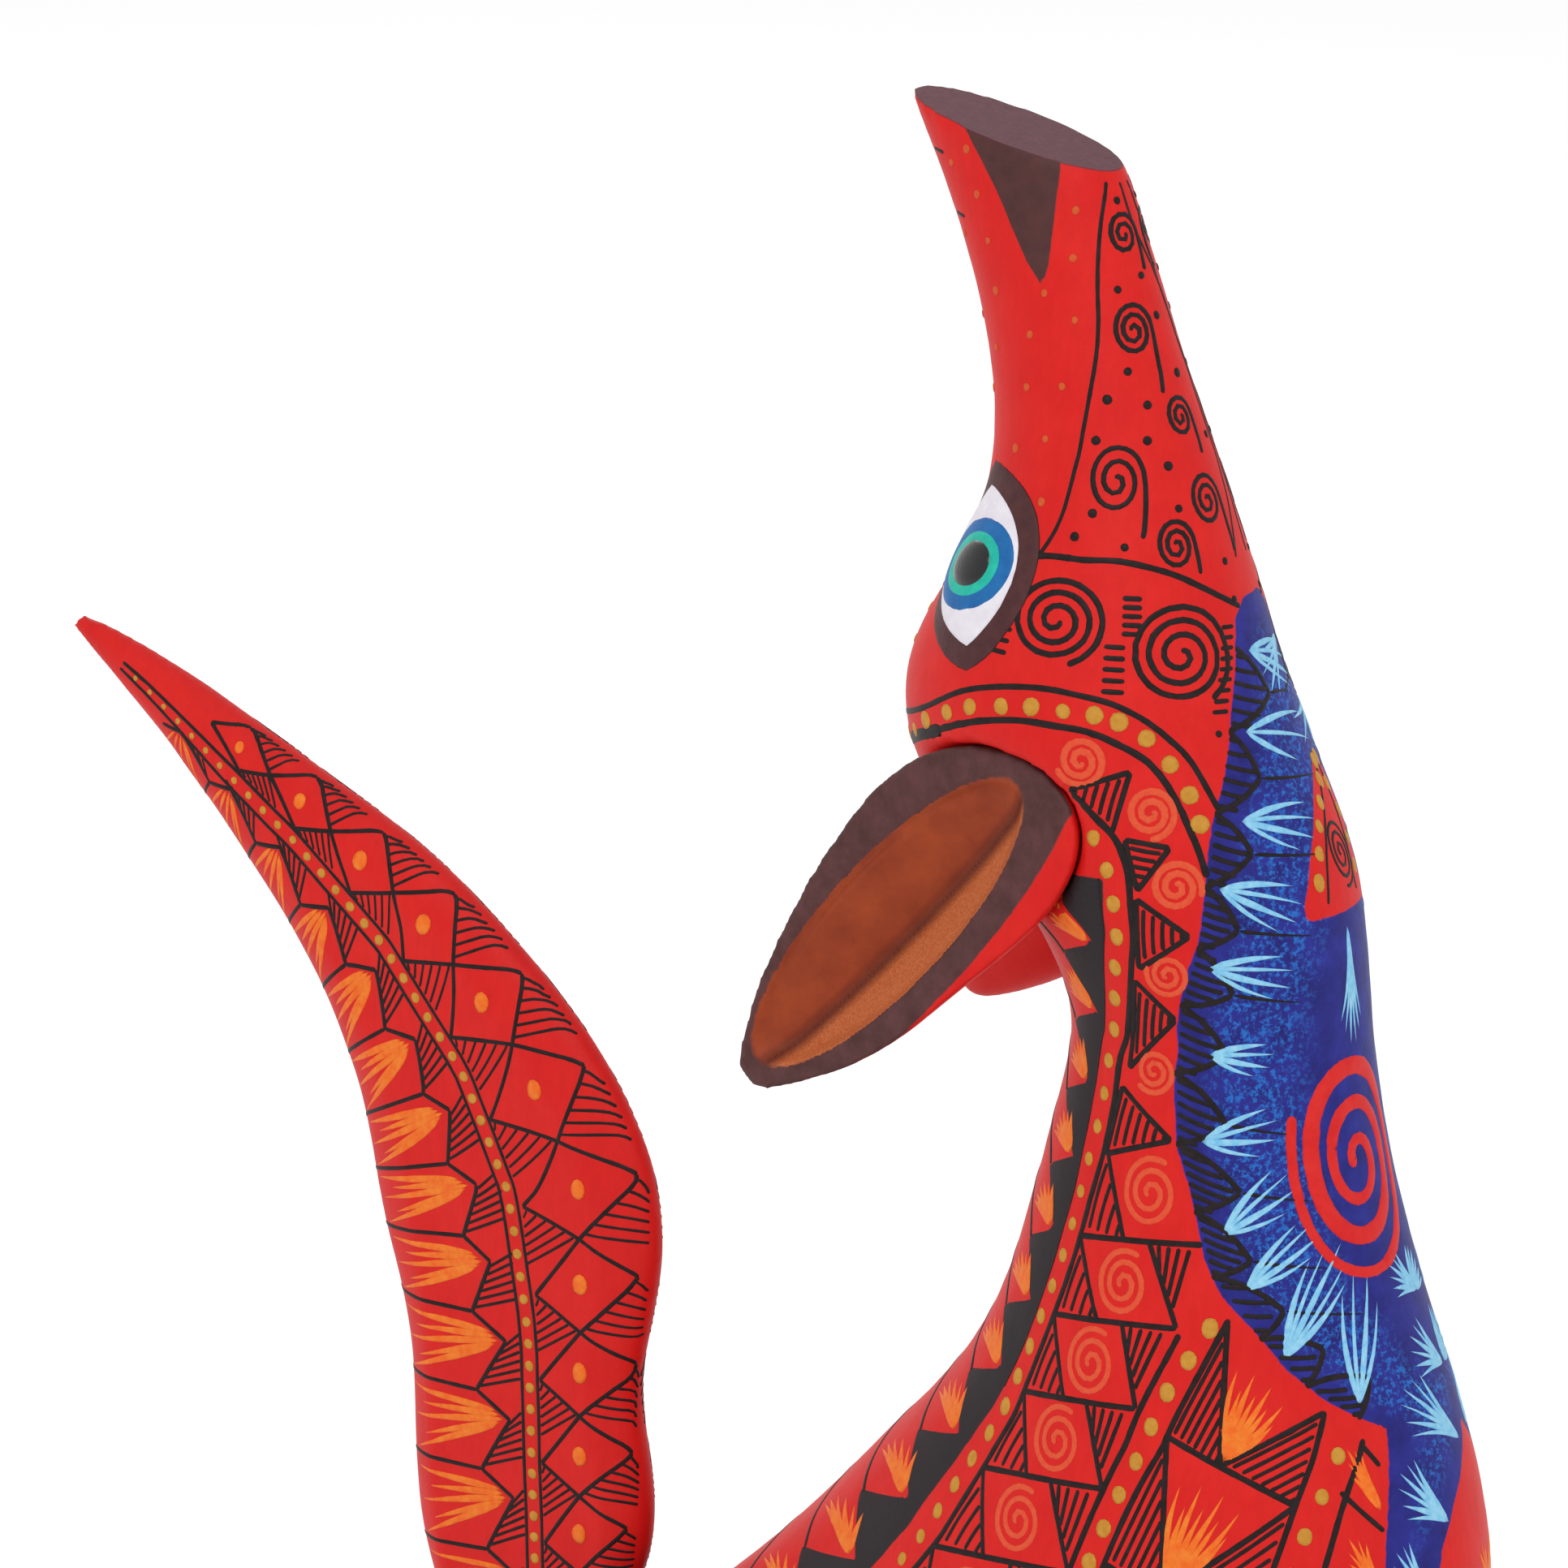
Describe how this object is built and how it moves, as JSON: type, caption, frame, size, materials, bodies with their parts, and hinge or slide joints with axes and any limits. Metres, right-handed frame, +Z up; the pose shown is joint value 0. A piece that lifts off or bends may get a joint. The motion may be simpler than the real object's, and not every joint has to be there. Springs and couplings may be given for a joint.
{
  "type": "carved and painted animal figure",
  "caption": "Seated, howling animal carved from soft wood, with push-in ears and a turning push-in tail, painted in dense folk patterns.",
  "frame": {"origin": "on the ground under the middle of the rump, in the middle plane", "axes": "+Z up, the animal looks along -Y, its right side is -X"},
  "size_m": [0.067, 0.1835, 0.2147],
  "materials": {
    "painted_body": "satin acrylic paint over sanded wood",
    "painted_ear": "satin acrylic paint over sanded wood",
    "painted_tail": "satin acrylic paint over sanded wood",
    "bare_peg": "bare turned wood"
  },
  "bodies": {
    "carving": {"carved_body": "painted_body"},
    "right_ear": {"right_ear": "painted_ear", "right_ear_peg": "bare_peg"},
    "left_ear": {"left_ear": "painted_ear", "left_ear_peg": "bare_peg"},
    "tail_peg": {"tail_peg": "bare_peg"},
    "tail": {"tail": "painted_tail"}
  },
  "joints": [
    {"name": "right_ear_pull", "type": "slide", "parent": "carving", "child": "right_ear", "axis": [-0.9907, 0.0192, 0.1344], "range_m": [0, 0.012]},
    {"name": "left_ear_pull", "type": "slide", "parent": "carving", "child": "left_ear", "axis": [0.9907, 0.0192, 0.1344], "range_m": [0, 0.012]},
    {"name": "tail_pull", "type": "slide", "parent": "carving", "child": "tail_peg", "axis": [0, 0.342, 0.9397], "range_m": [0, 0.014]},
    {"name": "tail_turn", "type": "hinge", "parent": "tail_peg", "child": "tail", "pos_m": [0, 0.033, 0.036], "axis": [0, 0.342, 0.9397], "range_deg": [-90, 90]}
  ]
}
